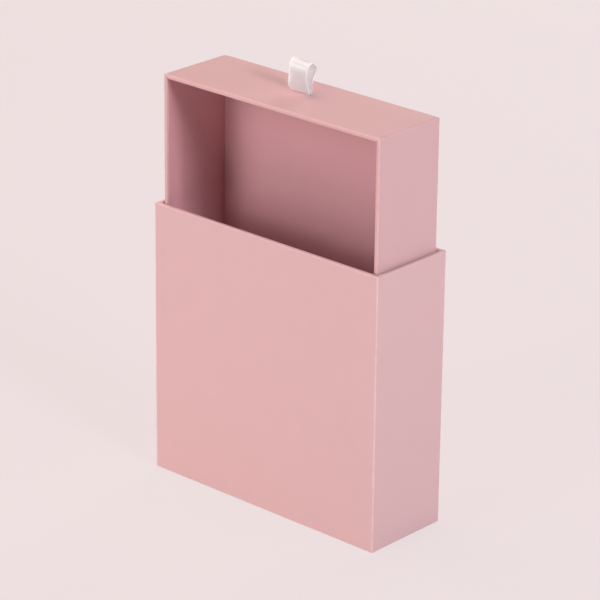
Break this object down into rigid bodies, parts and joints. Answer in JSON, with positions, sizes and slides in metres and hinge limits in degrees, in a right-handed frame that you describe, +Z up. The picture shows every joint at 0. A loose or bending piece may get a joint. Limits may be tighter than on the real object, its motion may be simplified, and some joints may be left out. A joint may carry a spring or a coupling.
{
  "type": "sliding drawer gift box",
  "caption": "Rigid gift box: an upright sleeve of paper-wrapped board and a shallow drawer that slides up out of it by a satin ribbon loop.",
  "frame": {"origin": "centre of the sleeve's foot, on the surface it stands on", "axes": "+Z up, the way the drawer slides out; -Y faces the drawer's open side; +X to the right of someone who looks into it"},
  "size_m": [0.15, 0.051, 0.2318],
  "materials": {
    "greyboard": "raw grey chipboard, slightly fibrous",
    "stay_tape": "gummed paper tape, matt",
    "wrap_paper": "soft-touch dusty pink paper, matt with a faint sheen",
    "lining_paper": "dusty pink paper, matt",
    "satin_ribbon": "white double-faced satin with raised selvedges"
  },
  "bodies": {
    "sleeve": {"sleeve_front_board": "greyboard", "sleeve_back_board": "greyboard", "sleeve_left_board": "greyboard", "sleeve_right_board": "greyboard", "sleeve_end_board": "greyboard", "sleeve_corner_tape_1": "stay_tape", "sleeve_corner_tape_2": "stay_tape", "sleeve_corner_tape_3": "stay_tape", "sleeve_corner_tape_4": "stay_tape", "sleeve_wrap": "wrap_paper", "sleeve_end_cover": "wrap_paper", "sleeve_lining": "lining_paper", "sleeve_end_lining": "lining_paper"},
    "drawer": {"drawer_base_board": "greyboard", "drawer_pull_wall_board": "greyboard", "drawer_foot_wall_board": "greyboard", "drawer_left_wall_board": "greyboard", "drawer_right_wall_board": "greyboard", "drawer_corner_tape_1": "stay_tape", "drawer_corner_tape_2": "stay_tape", "drawer_corner_tape_3": "stay_tape", "drawer_corner_tape_4": "stay_tape", "drawer_wrap": "wrap_paper", "drawer_wall_lining": "lining_paper", "drawer_base_lining": "lining_paper", "ribbon_tails": "satin_ribbon", "ribbon_anchor_patch": "lining_paper"},
    "ribbon": {"ribbon_loop": "satin_ribbon"}
  },
  "joints": [
    {"name": "drawer_slide", "type": "slide", "parent": "sleeve", "child": "drawer", "axis": [0, 0, 1], "range_m": [-0.0684, 0.0726]},
    {"name": "ribbon_lean", "type": "hinge", "parent": "drawer", "child": "ribbon", "pos_m": [-0.0034, 0.00366, 0.2154], "axis": [1, 0, 0], "range_deg": [-50, 40], "stiffness_Nm_per_rad": 0.0002}
  ]
}
